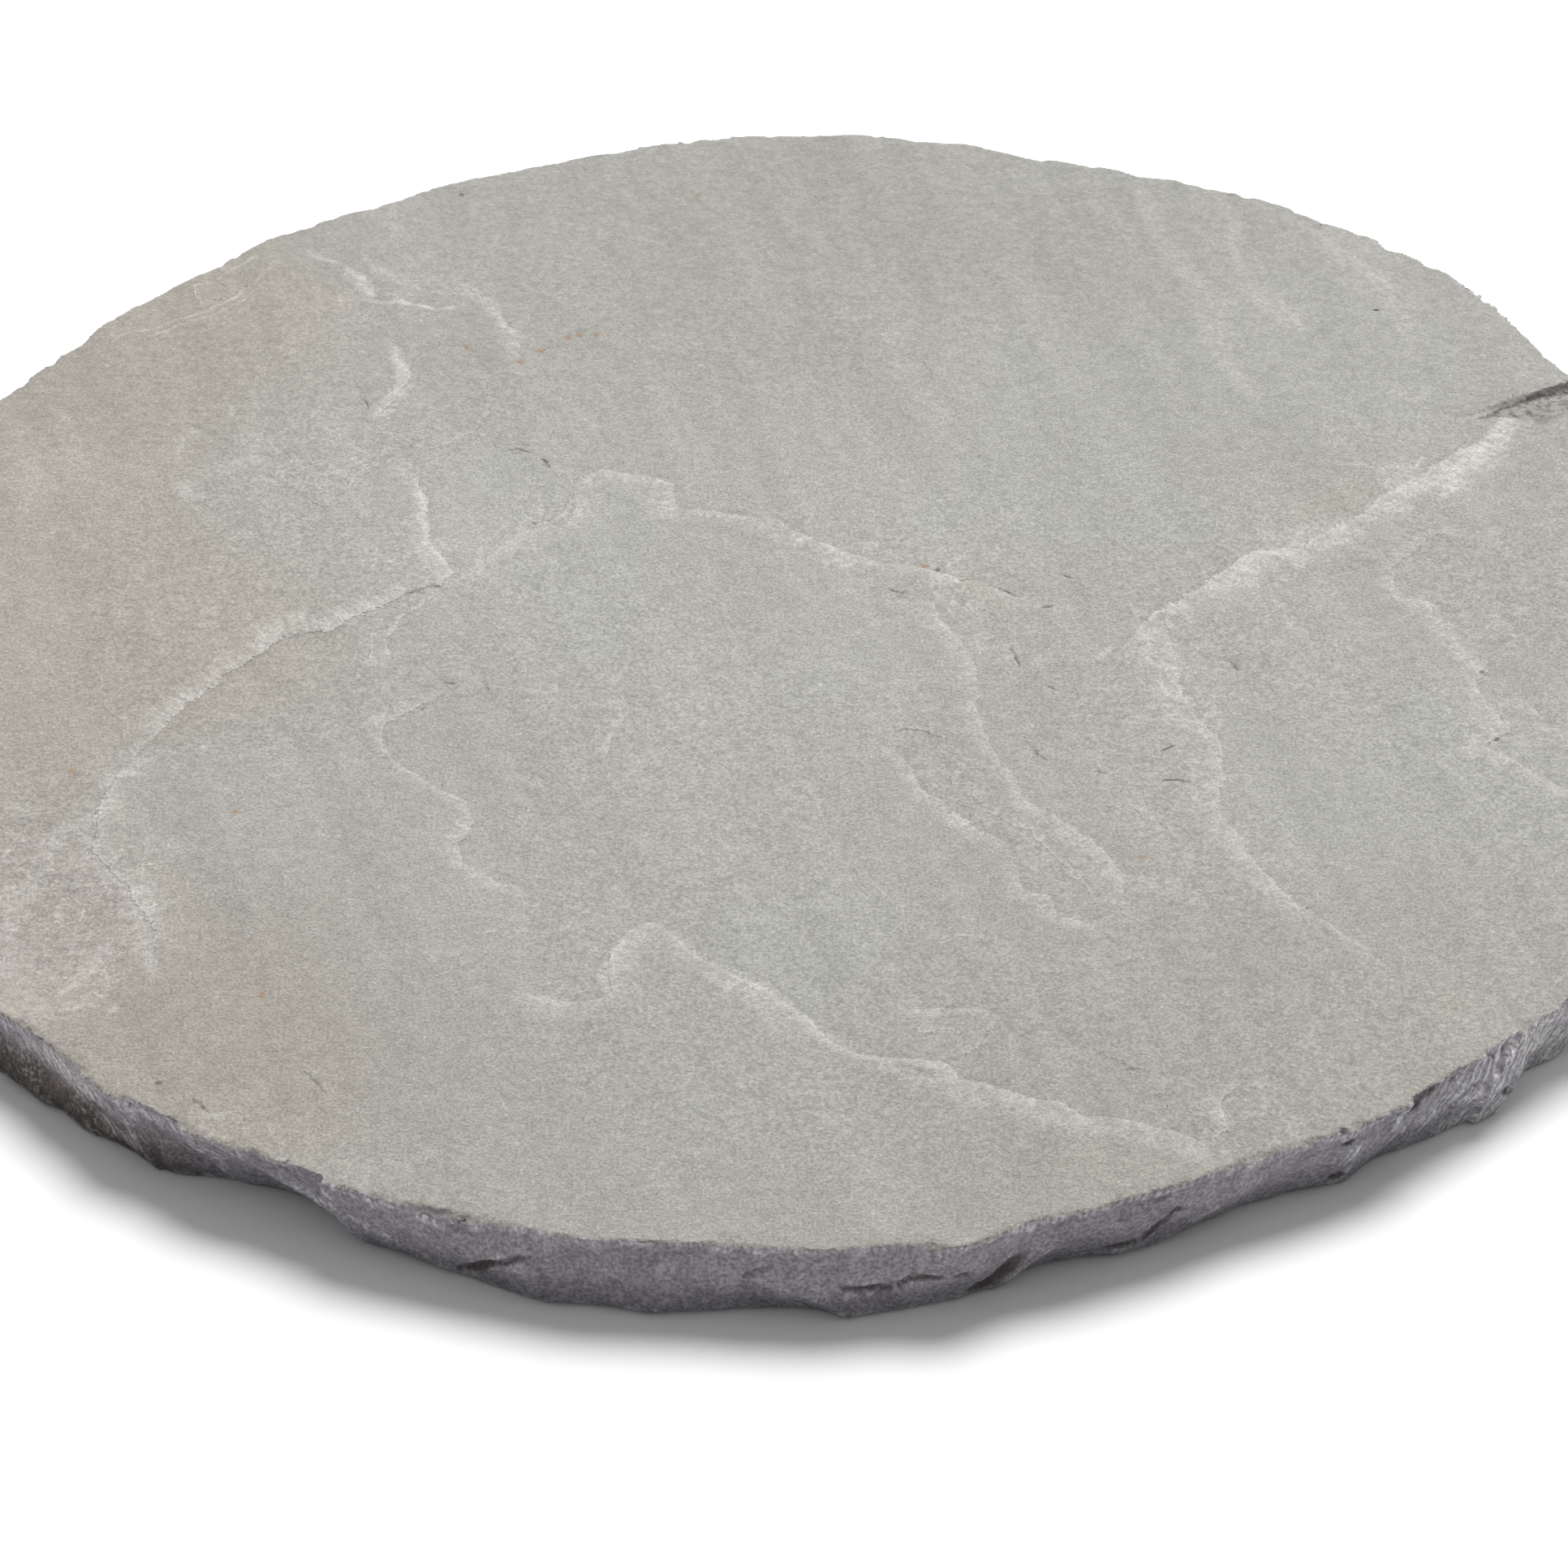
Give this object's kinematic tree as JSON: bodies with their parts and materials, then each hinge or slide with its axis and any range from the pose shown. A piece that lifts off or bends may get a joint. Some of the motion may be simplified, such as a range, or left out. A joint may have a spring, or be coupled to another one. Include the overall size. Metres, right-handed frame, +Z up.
{
  "type": "garden stepping stone",
  "caption": "Round garden stepping stone of grey sandstone with a riven, stepped walking face and a hand-dressed, chipped rim; it lies flat on the ground to make a path.",
  "frame": {"origin": "middle of the bounding box, on the underside that rests on the ground", "axes": "+Z up through the thickness, -Y the front of the stone as pictured, +X to its right"},
  "size_m": [0.4514, 0.4518, 0.022],
  "materials": {
    "stone": "riven, matt, fine sandy grain"
  },
  "bodies": {
    "root": {"stepping_stone": "stone"}
  },
  "joints": []
}
